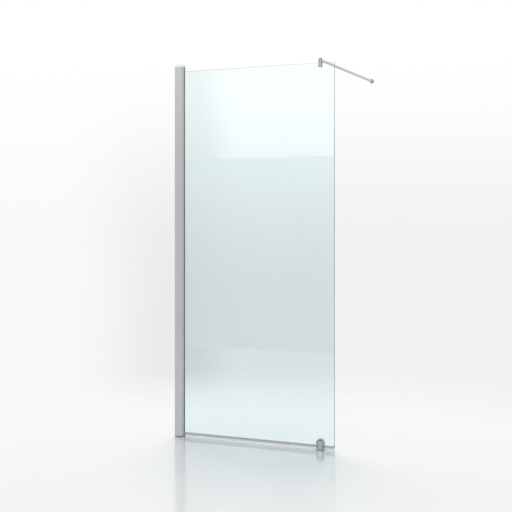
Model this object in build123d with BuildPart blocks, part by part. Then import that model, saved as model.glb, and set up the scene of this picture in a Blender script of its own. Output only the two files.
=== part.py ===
from build123d import *
import os

# Fixed walk-in shower screen: a glass panel in a telescoping wall channel, stood on a round foot and
# held at the top by a clamp and a brace bar that runs to the wall behind.
# The origin is where the wall plane, the middle of the glass and the floor meet.
# +X runs along the glass, away from its wall. +Y runs towards the wall that the brace bar meets. +Z is up.
# All sizes are millimetres.

# Driving dimensions: the whole screen
screen_width = 908.0
profile_height = 2000.0
glass_thickness = 8.0
glass_bottom = 16.0
glass_top = 1976.0
brace_wall_y = 890.0
hardware_x = 832.0

# Wall channel, open towards +X
channel_depth = 44.0
channel_width = 33.0
channel_web = 2.0
channel_wall = 1.5
channel_lip_radius = 0.8
guide_rib_length = 3.0
guide_rib_height = 0.5
sealant_groove_width = 2.0
sealant_groove_depth = 0.6
sealant_groove_y = 12.0
base_gasket_height = 3.0
base_gasket_inset = 0.3
wall_hole_radius = 2.75
wall_hole_ends = 100.0
wall_hole_inner_spacing = 600.0

# Glass profile, which telescopes in the channel
profile_half = 14.2
profile_wall = 1.6
profile_back = 12.0
profile_shoulder = 46.0
shoulder_radius = 1.0
pocket_web_x = 37.0
profile_bottom = 0.8
profile_top_gap = 0.4

# Slim nose of the glass profile, which grips the glass
nose_half = 7.1
nose_wall = 1.5
profile_mouth = 51.0
nose_radius = 0.6
nose_root_radius = 0.5
mouth_lip = 0.6
mouth_lip_length = 1.2

# How far the glass profile slides in and out of the channel
travel_in = 6.0
travel_out = 10.0

# Locking screws through the channel's rear wall
lock_x = 27.0
lock_heights = (150.0, 1000.0, 1850.0)
lock_shank_radius = 1.75
lock_hole_radius = 1.95
lock_slot_width = 3.9
lock_head_radius = 3.5
lock_head_height = 2.2
lock_socket = 2.5
lock_socket_depth = 1.4
nut_plate_width = 7.0
nut_plate_length = 22.0
nut_plate_thickness = 3.0
nut_plate_gap = 0.2
nut_plate_rounding = 1.0
thread_gap = 0.02
cover_cap_radius = 5.2
cover_cap_height = 3.3
cover_cap_inside_radius = 4.1
cover_cap_inside_depth = 2.5
cover_cap_rounding = 1.2

# Glass, its band and its edge pieces
edge_gap = 3.0
glass_corner_radius = 5.0
glass_arris = 0.7
band_bottom = 494.5
band_top = 1500.5
band_thickness = 0.15
band_margin = 1.0
block_length = 60.0
block_heights = (200.0, 1000.0, 1800.0)
filler_gap = 0.2
filler_rounding = 1.0

# Glazing gaskets
gasket_foot_back = 42.6
gasket_gap = 0.2
gasket_nose = 1.2
gasket_nose_half = 6.4
gasket_nose_radius = 0.5
gasket_rib_pitch = 2.4
gasket_rib_depth = 0.5

# Seal along the bottom edge of the glass
seal_wall = 1.4
seal_cover = 8.6
seal_fin_thickness = 1.0
seal_fin_reach = 5.0
seal_fin_bow = 1.0
seal_fin_root = 0.5
seal_floor_gap = 1.5
seal_end_gap = 0.3

# Top cap
cap_height = 10.0
cap_rounding = 1.0
cap_plug_depth = 12.0
cap_plug_thickness = 3.0
cap_plug_width = 24.0

# Foot: a round post with a domed top, slotted for the glass
foot_radius = 22.0
foot_height = 59.0
foot_dome = 17.0
foot_pad = 1.0
foot_slot_floor = 10.0
foot_edge = 0.8
foot_liner = 1.5
foot_liner_half_length = 17.0
foot_liner_top = 50.0
foot_screw_radius = 2.8
foot_sink_radius = 5.2
foot_pad_hole_radius = 3.4
foot_grub_radius = 3.0
foot_grub_length = 12.0
foot_grub_offset = 9.0
foot_grub_height = 32.0

# Clamp over the top edge of the glass, and the turning head on it
clamp_radius = 11.0
clamp_bottom = 1954.0
clamp_liner = 1.2
clamp_liner_half_length = 9.0
clamp_roof = 3.0
clamp_end_rounding = 3.0
clamp_grub_radius = 2.5
clamp_grub_length = 5.0
clamp_grub_height = 1964.0
seam = 0.1
head_top = 2001.0
head_dome = 8.5
pivot_radius = 2.5
pivot_clearance = 0.05
pivot_head_radius = 4.6
pivot_length = 14.0
pivot_end_gap = 1.0
pivot_socket = 3.0

# Brace bar and the wall base at its far end
bar_radius = 8.0
bar_wall = 1.5
bar_z = 1990.8
bar_seat_y = 7.0
bar_seat_clearance = 0.05
spigot_radius = 6.45
spigot_length = 20.0
base_disc_radius = 12.3
base_disc_thickness = 3.0
wall_screw_radius = 2.6
wall_screw_head_radius = 4.6
wall_screw_head_depth = 4.0
bar_grub_radius = 2.0
bar_grub_length = 4.0
bar_grub_sink = 0.6
bar_grub_setback = 10.0

# Shapes that every set screw shares, as parts of its radius, and how far a cut runs past a surface
grub_point = 0.2
grub_socket = 0.5
cut_past = 1.0

# Sliding cover over the wall base
cover_radius = 14.0
cover_length = 14.0
cover_wall = 1.3
cover_running_gap = 0.08
cover_rounding = 1.6

# Values worked out from the driving dimensions
channel_half = channel_width / 2
channel_inside_half = channel_half - channel_wall
channel_length = profile_height - base_gasket_height
profile_length = profile_height - profile_top_gap - profile_bottom
pocket_floor_x = pocket_web_x + profile_wall
glass_half = glass_thickness / 2
glass_edge_x = pocket_floor_x + edge_gap
glass_height = glass_top - glass_bottom
glass_start_x = profile_mouth + gasket_nose + seal_end_gap
profile_inside_half = profile_half - profile_wall
pocket_half = nose_half - nose_wall
foot_slot_half = glass_half + foot_liner
clamp_slot_half = glass_half + clamp_liner
clamp_slot_roof = glass_top + clamp_liner
clamp_top = clamp_slot_roof + clamp_roof
bar_end_y = brace_wall_y - base_disc_thickness

# The panel's upright middle plane along the glass, with its normal along -Y
glass_plane = Plane.XZ


def make_wall_channel():
    """Open channel: a web against the wall, two walls with guide ribs, screw holes and sealant grooves."""
    rib_places = (channel_depth - guide_rib_length / 2, 3 * guide_rib_length)
    with BuildPart() as channel:
        with BuildSketch(Plane.XY.offset(base_gasket_height)) as section:
            Rectangle(channel_depth, channel_width, align=(Align.MIN, Align.CENTER))
            with Locations((channel_web, 0)):
                Rectangle(channel_depth, 2 * channel_inside_half, align=(Align.MIN, Align.CENTER),
                          mode=Mode.SUBTRACT)
            tips = section.vertices().group_by(Axis.X)[-1].sort_by(Axis.Y)
            fillet([tips[0], tips[-1]], channel_lip_radius)
            for side in (-1, 1):
                with Locations(*[(x, side * channel_inside_half) for x in rib_places]):
                    Rectangle(guide_rib_length, 2 * guide_rib_height)
                with Locations((0, side * sealant_groove_y)):
                    Rectangle(2 * sealant_groove_depth, sealant_groove_width, mode=Mode.SUBTRACT)
        extrude(amount=channel_length)
        with BuildSketch(Plane.YZ):
            middle = profile_height / 2
            offsets = (wall_hole_inner_spacing / 2, middle - wall_hole_ends)
            with Locations(*[(0, middle + sign * d) for sign in (-1, 1) for d in offsets]):
                Circle(wall_hole_radius)
        extrude(amount=channel_web, mode=Mode.SUBTRACT)
        with BuildSketch(glass_plane.offset(-channel_half)):
            with Locations(*[(lock_x, z) for z in lock_heights]):
                Circle(lock_hole_radius)
        extrude(amount=channel_wall, mode=Mode.SUBTRACT)
    return channel


def make_base_gasket():
    """Soft pad of the channel's outline between its lower end and the floor."""
    with BuildPart() as gasket:
        with BuildSketch():
            with Locations((base_gasket_inset, 0)):
                Rectangle(channel_depth - 2 * base_gasket_inset,
                          channel_width - 2 * base_gasket_inset,
                          align=(Align.MIN, Align.CENTER))
            with Locations((profile_back - travel_in - base_gasket_inset, 0)):
                Rectangle(channel_depth, 2 * (profile_half + base_gasket_inset),
                          align=(Align.MIN, Align.CENTER), mode=Mode.SUBTRACT)
        extrude(amount=base_gasket_height)
    return gasket


def make_top_cap():
    """Moulded cap over the upper ends of both profiles, with a plug that grips inside the channel."""
    with BuildPart() as cap:
        with BuildSketch(Plane.XY.offset(profile_height)):
            Rectangle(profile_shoulder, channel_width, align=(Align.MIN, Align.CENTER))
            Rectangle(profile_mouth, 2 * nose_half, align=(Align.MIN, Align.CENTER))
        extrude(amount=cap_height)
        upright = cap.edges().filter_by(Axis.Z).group_by(Axis.X)
        shoulders = upright[1].sort_by(Axis.Y)
        fillet([*upright[-1], shoulders[0], shoulders[-1]], cap_rounding)
        fillet(cap.faces().sort_by(Axis.Z)[-1].edges().sort_by(Axis.X)[1:], cap_rounding)
        with BuildSketch(Plane.XY.offset(profile_height)):
            with Locations((channel_web, 0)):
                Rectangle(cap_plug_thickness, cap_plug_width, align=(Align.MIN, Align.CENTER))
        extrude(amount=-cap_plug_depth)
    return cap


def make_locking_screws():
    """Three screws with low round heads on the channel's rear wall, one beside each slot of the profile."""
    places = [(lock_x, z) for z in lock_heights]
    tip_y = profile_inside_half - nut_plate_gap - nut_plate_thickness
    with BuildPart() as screws:
        with BuildSketch(glass_plane.offset(-channel_half)):
            with Locations(*places):
                Circle(lock_head_radius)
        extrude(amount=-lock_head_height)
        crown = screws.faces().filter_by(Axis.Y).group_by(Axis.Y)[-1]
        fillet(crown.edges(), lock_head_height / 2)
        with BuildSketch(glass_plane.offset(-channel_half)):
            with Locations(*places):
                Circle(lock_shank_radius)
        extrude(amount=channel_half - tip_y)
        with BuildSketch(glass_plane.offset(-channel_half - lock_head_height)):
            with Locations(*places):
                RegularPolygon(lock_socket / 2, 6, major_radius=False)
        extrude(amount=lock_socket_depth, mode=Mode.SUBTRACT)
    return screws


def make_nut_plates():
    """Plates inside the glass profile that the locking screws pull against its wall."""
    with BuildPart() as plates:
        with BuildSketch(glass_plane.offset(nut_plate_gap - profile_inside_half)):
            with Locations(*[(lock_x, z) for z in lock_heights]):
                RectangleRounded(nut_plate_width, nut_plate_length, nut_plate_rounding)
                Circle(lock_shank_radius + thread_gap, mode=Mode.SUBTRACT)
        extrude(amount=nut_plate_thickness)
    return plates


def make_cover_caps():
    """Push-on caps over the heads of the locking screws."""
    places = [(lock_x, z) for z in lock_heights]
    with BuildPart() as caps:
        with BuildSketch(glass_plane.offset(-channel_half)):
            with Locations(*places):
                Circle(cover_cap_radius)
        extrude(amount=-cover_cap_height)
        crown = caps.faces().filter_by(Axis.Y).group_by(Axis.Y)[-1]
        fillet(crown.edges(), cover_cap_rounding)
        with BuildSketch(glass_plane.offset(-channel_half)):
            with Locations(*places):
                Circle(cover_cap_inside_radius)
        extrude(amount=-cover_cap_inside_depth, mode=Mode.SUBTRACT)
    return caps


def make_glass_profile():
    """Extrusion with two legs in the channel, a web, a shoulder, and a slim nose that grips the glass."""
    slot_low = lock_x - travel_out
    slot_high = lock_x + travel_in
    chamber = (profile_shoulder - profile_wall - pocket_floor_x, profile_inside_half - nose_half)
    with BuildPart() as profile:
        with BuildSketch(Plane.XY.offset(profile_bottom)) as section:
            with Locations((profile_back, 0)):
                Rectangle(profile_shoulder - profile_back, 2 * profile_half,
                          align=(Align.MIN, Align.CENTER))
                Rectangle(profile_mouth - profile_back, 2 * nose_half, align=(Align.MIN, Align.CENTER))
            corners = section.vertices().group_by(Axis.X)
            shoulder = corners[-2].sort_by(Axis.Y)
            fillet([shoulder[0], shoulder[-1]], shoulder_radius)
            fillet(corners[-1], nose_radius)
            fillet(section.vertices().filter_by_position(Axis.X, profile_shoulder - 0.01,
                                                         profile_shoulder + 0.01)
                   .filter_by_position(Axis.Y, -nose_half - 0.01, nose_half + 0.01), nose_root_radius)
            with Locations((profile_back, 0)):
                Rectangle(pocket_web_x - profile_back, 2 * profile_inside_half,
                          align=(Align.MIN, Align.CENTER), mode=Mode.SUBTRACT)
            with Locations((pocket_floor_x, 0)):
                Rectangle(profile_mouth - pocket_floor_x, 2 * pocket_half,
                          align=(Align.MIN, Align.CENTER), mode=Mode.SUBTRACT)
            for side in (-1, 1):
                with Locations((pocket_floor_x + chamber[0] / 2, side * (nose_half + chamber[1] / 2))):
                    Rectangle(*chamber, mode=Mode.SUBTRACT)
                with Locations((profile_mouth - mouth_lip_length / 2, side * (pocket_half - mouth_lip / 2))):
                    Rectangle(mouth_lip_length, mouth_lip)
        extrude(amount=profile_length)
        with BuildSketch(glass_plane.offset(-profile_half)):
            with Locations(*[((slot_low + slot_high) / 2, z) for z in lock_heights]):
                SlotCenterToCenter(slot_high - slot_low, lock_slot_width)
        extrude(amount=profile_wall, mode=Mode.SUBTRACT)
    return profile


def make_gasket(side):
    """Glazing gasket between one side of the nose and the glass: a ribbed foot, a neck and a rounded lip."""
    leg = side * (pocket_half - gasket_gap)
    foot_front = profile_mouth - mouth_lip_length - gasket_gap
    neck = side * (pocket_half - mouth_lip - gasket_gap)
    nose_front = profile_mouth + gasket_nose
    face = side * glass_half
    with BuildPart() as gasket:
        with BuildSketch(Plane.XY.offset(profile_bottom)) as section:
            with BuildLine():
                Polyline((gasket_foot_back, face), (nose_front, face), (nose_front, side * gasket_nose_half),
                         (profile_mouth, side * gasket_nose_half), (profile_mouth, neck),
                         (foot_front, neck), (foot_front, leg), (gasket_foot_back, leg), close=True)
            make_face()
            nose = section.vertices().group_by(Axis.X)[-1]
            fillet(nose, gasket_nose_radius)
            ribs = [(foot_front - (i + 1) * gasket_rib_pitch, face) for i in range(2)]
            with Locations(*ribs):
                Rectangle(gasket_rib_pitch / 3, 2 * gasket_rib_depth, mode=Mode.SUBTRACT)
        extrude(amount=profile_length)
    return gasket


def make_glass_panel():
    """Toughened panel with rounded free corners and a ground arris along every edge."""
    width = screen_width - glass_edge_x
    with BuildPart() as glass:
        with BuildSketch(glass_plane.offset(-glass_half)) as outline:
            with Locations((glass_edge_x, glass_bottom)):
                Rectangle(width, glass_height, align=(Align.MIN, Align.MIN))
            fillet(outline.vertices().group_by(Axis.X)[-1], glass_corner_radius)
        extrude(amount=glass_thickness)
        chamfer(glass.faces().filter_by(Axis.Y).edges(), glass_arris)
    return glass


def make_satin_band():
    """Satin print on the inner face of the glass, across the middle of the panel."""
    with BuildPart() as band:
        with BuildSketch(glass_plane.offset(-glass_half)):
            with Locations((glass_start_x, band_bottom)):
                Rectangle(screen_width - band_margin - glass_start_x, band_top - band_bottom,
                          align=(Align.MIN, Align.MIN))
        extrude(amount=-band_thickness)
    return band


def make_edge_blocks():
    """Setting blocks between the hidden edge of the glass and the web of its profile."""
    with BuildPart() as blocks:
        with BuildSketch(Plane.YZ.offset(pocket_floor_x)):
            with Locations(*[(0, z) for z in block_heights]):
                Rectangle(glass_thickness, block_length)
        extrude(amount=edge_gap)
    return blocks


def make_pocket_filler(low, high):
    """Block that closes the pocket between the gaskets above or below the glass."""
    width = glass_thickness - 2 * filler_gap
    length = profile_mouth - glass_edge_x
    with BuildPart() as filler:
        with BuildSketch(Plane.XY.offset(low)):
            with Locations((glass_edge_x, 0)):
                Rectangle(length, width, align=(Align.MIN, Align.CENTER))
        extrude(amount=high - low)
        fillet(filler.edges().filter_by(Axis.Z).group_by(Axis.X)[-1], filler_rounding)
    return filler


def make_bottom_seal(start, end):
    """Clip-on seal: a channel round the lower edge of the glass, and a fin that leans towards the floor."""
    half = glass_half + seal_wall
    base = glass_bottom - seal_wall
    with BuildPart() as seal:
        with BuildSketch(Plane.YZ.offset(start)) as section:
            with Locations((0, base)):
                Rectangle(2 * half, seal_wall + seal_cover, align=(Align.CENTER, Align.MIN))
            with Locations((0, glass_bottom)):
                Rectangle(glass_thickness, seal_cover, align=(Align.CENTER, Align.MIN),
                          mode=Mode.SUBTRACT)
            tips = section.vertices().group_by(Axis.Y)[-1].sort_by(Axis.X)
            fillet([tips[0], tips[-1]], seal_wall / 2)
            with BuildLine():
                root = -seal_fin_thickness
                tip = seal_fin_reach - seal_fin_thickness
                lean = (root + seal_fin_bow, base / 2)
                inner = ThreePointArc((root, base), lean, (tip, seal_floor_gap))
                Line(inner @ 1, (tip + seal_fin_thickness, seal_floor_gap))
                ThreePointArc((tip + seal_fin_thickness, seal_floor_gap),
                              (lean[0] + seal_fin_thickness, lean[1] + seal_fin_root),
                              (root + seal_fin_thickness + seal_fin_root, base))
                Line((root + seal_fin_thickness + seal_fin_root, base), inner @ 0)
            make_face()
        extrude(amount=end - start)
    return seal


def upright_plane(x, z=0):
    """Plane through this X, facing -Y like the plane of the glass, with its origin at this height."""
    return Plane(origin=(x, 0, z), x_dir=(1, 0, 0), z_dir=(0, -1, 0))


def bullet(radius, low, high, dome, edge, x):
    """Upright round post on an axis at this X, with an elliptical dome on top and a broken lower edge."""
    with BuildPart() as post:
        with BuildSketch(upright_plane(x)):
            with BuildLine():
                shoulder = high - dome
                Polyline((0, high), (0, low), (radius - edge, low), (radius, low + edge),
                         (radius, shoulder))
                EllipticalCenterArc((0, shoulder), radius, dome, start_angle=0, arc_size=90)
            make_face()
        revolve(axis=Axis((x, 0, 0), (0, 0, 1)))
    return post


def make_foot():
    """Domed post on the floor, slotted for the glass, with a screw hole under the glass and set screws."""
    post = bullet(foot_radius, foot_pad, foot_height, foot_dome, foot_edge, hardware_x)
    with BuildPart() as foot:
        add(post.part)
        with BuildSketch(Plane.YZ.offset(hardware_x)):
            with Locations((0, foot_slot_floor)):
                Rectangle(2 * foot_slot_half, foot_height, align=(Align.CENTER, Align.MIN))
        extrude(amount=foot_radius + cut_past, both=True, mode=Mode.SUBTRACT)
        with Locations((hardware_x, 0, foot_slot_floor)):
            CounterSinkHole(foot_screw_radius, foot_sink_radius, counter_sink_angle=90)
        with BuildSketch(glass_plane.offset(-foot_slot_half)):
            with Locations(*foot_grub_places()):
                Circle(foot_grub_radius + thread_gap)
        extrude(amount=-foot_radius, mode=Mode.SUBTRACT)
    return foot


def foot_grub_places():
    """Where the set screws of the foot are, as X and Z on the plane of the glass."""
    return [(hardware_x + side * foot_grub_offset, foot_grub_height) for side in (-1, 1)]


def make_foot_pad():
    """Thin round pad under the foot, with a hole round its screw."""
    with BuildPart() as pad:
        with BuildSketch():
            with Locations((hardware_x, 0)):
                Circle(foot_radius - foot_edge)
                Circle(foot_pad_hole_radius, mode=Mode.SUBTRACT)
        extrude(amount=foot_pad)
    return pad


def make_foot_block():
    """Setting block in the slot of the foot, under the edge of the glass."""
    with BuildPart() as block:
        with BuildSketch(Plane.XY.offset(foot_slot_floor)):
            with Locations((hardware_x, 0)):
                Rectangle(2 * foot_liner_half_length, 2 * (foot_slot_half - filler_gap))
        extrude(amount=glass_bottom - foot_slot_floor)
    return block


def make_foot_liners():
    """Two clear liners between the jaws of the foot and the glass."""
    with BuildPart() as liners:
        with BuildSketch(Plane.XY.offset(glass_bottom)):
            for side in (-1, 1):
                with Locations((hardware_x, side * (glass_half + foot_liner / 2))):
                    Rectangle(2 * foot_liner_half_length, foot_liner)
        extrude(amount=foot_liner_top - glass_bottom)
    return liners


def make_set_screws(ends, places, radius, length):
    """Set screws with a hexagon socket. The plane lies on their open ends and faces into them."""
    with BuildPart() as screws:
        with BuildSketch(ends):
            with Locations(*places):
                Circle(radius)
        extrude(amount=length)
        along = Axis(ends.origin, ends.z_dir)
        tips = screws.edges().filter_by(GeomType.CIRCLE).group_by(along)[-1]
        chamfer(tips, grub_point * radius)
        with BuildSketch(ends):
            with Locations(*places):
                RegularPolygon(grub_socket * radius, 6, major_radius=False)
        extrude(amount=length / 2, mode=Mode.SUBTRACT)
    return screws


def make_clamp():
    """Lower half of the clamp: a round post with a rounded end, slotted over the top edge of the glass."""
    with BuildPart() as clamp:
        with BuildSketch(Plane.XY.offset(clamp_bottom)):
            with Locations((hardware_x, 0)):
                Circle(clamp_radius)
        extrude(amount=clamp_top - clamp_bottom)
        fillet(clamp.edges().sort_by(Axis.Z)[0], clamp_end_rounding)
        with BuildSketch(Plane.YZ.offset(hardware_x)):
            with Locations((0, clamp_slot_roof)):
                Rectangle(2 * clamp_slot_half, clamp_slot_roof - clamp_bottom,
                          align=(Align.CENTER, Align.MAX))
        extrude(amount=clamp_radius + cut_past, both=True, mode=Mode.SUBTRACT)
        with BuildSketch(Plane.XY.offset(clamp_slot_roof)):
            with Locations((hardware_x, 0)):
                Circle(pivot_head_radius + pivot_clearance)
        extrude(amount=pivot_head_radius - pivot_radius, taper=45, mode=Mode.SUBTRACT)
        with BuildSketch(Plane.XY.offset(clamp_slot_roof)):
            with Locations((hardware_x, 0)):
                Circle(pivot_radius + pivot_clearance)
        extrude(amount=clamp_roof, mode=Mode.SUBTRACT)
        with BuildSketch(glass_plane.offset(-clamp_slot_half)):
            with Locations((hardware_x, clamp_grub_height)):
                Circle(clamp_grub_radius + thread_gap)
        extrude(amount=-clamp_radius, mode=Mode.SUBTRACT)
    return clamp


def make_clamp_liner():
    """Soft saddle over the edge of the glass, between it and the jaws and roof of the clamp."""
    with BuildPart() as liner:
        with BuildSketch(Plane.YZ.offset(hardware_x - clamp_liner_half_length)):
            with Locations((0, clamp_bottom + clamp_end_rounding)):
                Rectangle(2 * clamp_slot_half, clamp_slot_roof - clamp_bottom - clamp_end_rounding,
                          align=(Align.CENTER, Align.MIN))
                Rectangle(glass_thickness, glass_top - clamp_bottom - clamp_end_rounding,
                          align=(Align.CENTER, Align.MIN), mode=Mode.SUBTRACT)
        extrude(amount=2 * clamp_liner_half_length)
    return liner


def make_brace_head():
    """Turning head: a domed post on the clamp, with a flat-bottomed socket and a spigot for the bar."""
    post = bullet(clamp_radius, clamp_top + seam, head_top, head_dome, seam, hardware_x)
    with BuildPart() as head:
        add(post.part)
        with BuildSketch(glass_plane.offset(-bar_seat_y)):
            with Locations((hardware_x, bar_z)):
                Circle(bar_radius + bar_seat_clearance)
        extrude(amount=-clamp_radius, mode=Mode.SUBTRACT)
        with BuildSketch(glass_plane.offset(-bar_seat_y)):
            with Locations((hardware_x, bar_z)):
                Circle(spigot_radius)
        extrude(amount=-spigot_length)
        with BuildSketch(Plane.XY.offset(clamp_top)):
            with Locations((hardware_x, 0)):
                Circle(pivot_radius + thread_gap)
        extrude(amount=pivot_length - clamp_roof, mode=Mode.SUBTRACT)
        with BuildSketch(Plane.XY.offset(bar_z - bar_radius)):
            with Locations((hardware_x, bar_seat_y + bar_grub_setback)):
                Circle(bar_grub_radius + thread_gap)
        extrude(amount=bar_grub_sink + bar_grub_length, mode=Mode.SUBTRACT)
    return head


def make_pivot_screw():
    """Countersunk screw up through the roof of the clamp, on which the head turns."""
    cone = pivot_head_radius - pivot_radius
    length = pivot_length - pivot_end_gap
    base = clamp_slot_roof + pivot_clearance
    with BuildPart() as screw:
        with BuildSketch(upright_plane(hardware_x, base)):
            with BuildLine():
                Polyline((0, 0), (pivot_head_radius - pivot_clearance, 0), (pivot_radius, cone),
                         (pivot_radius, length), (0, length), close=True)
            make_face()
        revolve(axis=Axis((hardware_x, 0, 0), (0, 0, 1)))
        with BuildSketch(Plane.XY.offset(base)):
            with Locations((hardware_x, 0)):
                RegularPolygon(pivot_socket / 2, 6, major_radius=False)
        extrude(amount=cone, mode=Mode.SUBTRACT)
    return screw


def make_brace_bar():
    """Round tube from the head to the wall base, with a hole near each end for its set screw."""
    with BuildPart() as bar:
        with BuildSketch(glass_plane.offset(-bar_seat_y)):
            with Locations((hardware_x, bar_z)):
                Circle(bar_radius)
                Circle(bar_radius - bar_wall, mode=Mode.SUBTRACT)
        extrude(amount=-(bar_end_y - bar_seat_y))
        with BuildSketch(Plane.XY.offset(bar_z - bar_radius)):
            with Locations(*bar_grub_places()):
                Circle(bar_grub_radius + thread_gap)
        extrude(amount=bar_radius, mode=Mode.SUBTRACT)
    return bar


def bar_grub_places():
    """Where the set screws under the bar are, as X and Y."""
    return [(hardware_x, bar_seat_y + bar_grub_setback), (hardware_x, bar_end_y - bar_grub_setback)]


def make_wall_base():
    """Disc on the wall with a hub that fills the end of the bar, counterbored for one wall screw."""
    with BuildPart() as base:
        with BuildSketch(glass_plane.offset(-brace_wall_y)):
            with Locations((hardware_x, bar_z)):
                Circle(base_disc_radius)
        extrude(amount=base_disc_thickness)
        with BuildSketch(glass_plane.offset(-bar_end_y)):
            with Locations((hardware_x, bar_z)):
                Circle(spigot_radius)
        extrude(amount=spigot_length)
        with BuildSketch(glass_plane.offset(-brace_wall_y)):
            with Locations((hardware_x, bar_z)):
                Circle(wall_screw_radius)
        extrude(amount=base_disc_thickness + spigot_length, mode=Mode.SUBTRACT)
        with BuildSketch(glass_plane.offset(spigot_length - bar_end_y)):
            with Locations((hardware_x, bar_z)):
                Circle(wall_screw_head_radius)
        extrude(amount=-wall_screw_head_depth, mode=Mode.SUBTRACT)
        with BuildSketch(Plane.XY.offset(bar_z - bar_radius)):
            with Locations((hardware_x, bar_end_y - bar_grub_setback)):
                Circle(bar_grub_radius + thread_gap)
        extrude(amount=bar_grub_sink + bar_grub_length, mode=Mode.SUBTRACT)
    return base


def make_flange_cover():
    """Turned cup that slides along the bar and hides the wall base."""
    with BuildPart() as cover:
        with BuildSketch(glass_plane.offset(-brace_wall_y)):
            with Locations((hardware_x, bar_z)):
                Circle(cover_radius)
        extrude(amount=cover_length)
        rim = cover.edges().filter_by(GeomType.CIRCLE).sort_by(Axis.Y)[0]
        fillet(rim, cover_rounding)
        with BuildSketch(glass_plane.offset(-brace_wall_y)):
            with Locations((hardware_x, bar_z)):
                Circle(cover_radius - cover_wall)
        extrude(amount=cover_length - cover_rounding - cover_wall, mode=Mode.SUBTRACT)
        with BuildSketch(glass_plane.offset(-brace_wall_y)):
            with Locations((hardware_x, bar_z)):
                Circle(bar_radius + cover_running_gap)
        extrude(amount=cover_length, mode=Mode.SUBTRACT)
    return cover


def foot_set_screws():
    """Two set screws in the rear jaw of the foot, against its liner."""
    ends = glass_plane.offset(-foot_slot_half - foot_grub_length)
    return make_set_screws(ends, foot_grub_places(), foot_grub_radius, foot_grub_length)


def clamp_set_screw():
    """One set screw in the rear jaw of the clamp, against its liner."""
    ends = glass_plane.offset(-clamp_slot_half - clamp_grub_length)
    place = (hardware_x, clamp_grub_height)
    return make_set_screws(ends, [place], clamp_grub_radius, clamp_grub_length)


def bar_set_screws():
    """One set screw up into each end of the bar, into the spigot and into the hub."""
    ends = Plane.XY.offset(bar_z - bar_radius + bar_grub_sink)
    return make_set_screws(ends, bar_grub_places(), bar_grub_radius, bar_grub_length)


profile_top = profile_height - profile_top_gap
foot_start_x = hardware_x - foot_radius - seal_end_gap
foot_end_x = hardware_x + foot_radius + seal_end_gap

pieces = {
    "wall_channel": make_wall_channel(),
    "channel_base_gasket": make_base_gasket(),
    "profile_top_cap": make_top_cap(),
    "locking_screws": make_locking_screws(),
    "locking_nut_plates": make_nut_plates(),
    "locking_screw_caps": make_cover_caps(),
    "glass_profile": make_glass_profile(),
    "gasket_front": make_gasket(-1),
    "gasket_rear": make_gasket(1),
    "edge_setting_blocks": make_edge_blocks(),
    "pocket_bottom_block": make_pocket_filler(profile_bottom, glass_bottom),
    "pocket_top_filler": make_pocket_filler(glass_top, profile_top),
    "glass_panel": make_glass_panel(),
    "satin_band": make_satin_band(),
    "bottom_seal_long": make_bottom_seal(glass_start_x, foot_start_x),
    "bottom_seal_short": make_bottom_seal(foot_end_x, screen_width),
    "foot_post": make_foot(),
    "foot_pad": make_foot_pad(),
    "foot_setting_block": make_foot_block(),
    "foot_liners": make_foot_liners(),
    "foot_set_screws": foot_set_screws(),
    "clamp_body": make_clamp(),
    "clamp_liner": make_clamp_liner(),
    "clamp_set_screw": clamp_set_screw(),
    "brace_head": make_brace_head(),
    "head_pivot_screw": make_pivot_screw(),
    "brace_bar": make_brace_bar(),
    "bar_set_screws": bar_set_screws(),
    "wall_base": make_wall_base(),
    "flange_cover": make_flange_cover(),
}

os.makedirs("parts", exist_ok=True)
for label, piece in pieces.items():
    piece.part.label = label
    export_step(piece.part, f"parts/{label}.step")
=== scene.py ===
import math

import bmesh
import bpy
import numpy as np
from bpy.props import FloatProperty, FloatVectorProperty, PointerProperty
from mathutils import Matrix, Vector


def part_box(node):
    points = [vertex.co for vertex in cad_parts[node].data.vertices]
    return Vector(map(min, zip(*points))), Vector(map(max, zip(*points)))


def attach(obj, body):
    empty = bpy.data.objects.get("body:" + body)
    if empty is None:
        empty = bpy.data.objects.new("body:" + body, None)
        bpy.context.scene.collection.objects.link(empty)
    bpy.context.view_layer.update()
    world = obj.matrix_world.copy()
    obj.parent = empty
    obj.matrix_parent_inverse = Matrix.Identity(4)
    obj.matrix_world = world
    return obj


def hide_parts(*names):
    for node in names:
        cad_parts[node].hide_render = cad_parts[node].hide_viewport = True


bl_info = {
    "name": "Walk-in shower screen",
    "version": (1, 0, 0),
    "blender": (4, 5, 0),
    "location": "3D View > Sidebar > Shower screen",
    "description": "Finishes, soft pieces and a studio for a glass shower screen built on its CAD solids",
    "category": "Object",
}

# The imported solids, and their box before anything is added to them
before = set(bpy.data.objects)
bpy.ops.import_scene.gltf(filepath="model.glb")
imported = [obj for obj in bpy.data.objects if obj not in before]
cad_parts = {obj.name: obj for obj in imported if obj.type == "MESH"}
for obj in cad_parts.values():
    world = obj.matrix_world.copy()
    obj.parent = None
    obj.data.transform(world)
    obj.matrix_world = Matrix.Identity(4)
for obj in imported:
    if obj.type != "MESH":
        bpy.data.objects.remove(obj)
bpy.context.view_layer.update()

MM = 0.001

# Width and height of the photograph, in pixels
PHOTO_SIZE = 512

WHITE = (1.0, 1.0, 1.0, 1.0)
BLACK = (0.0, 0.0, 0.0, 1.0)


# Shapes -------------------------------------------------------------------------------------------

def box(node):
    """Lowest and highest corner of a CAD node, as two arrays."""
    return tuple(np.array(corner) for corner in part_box(node))


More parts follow.
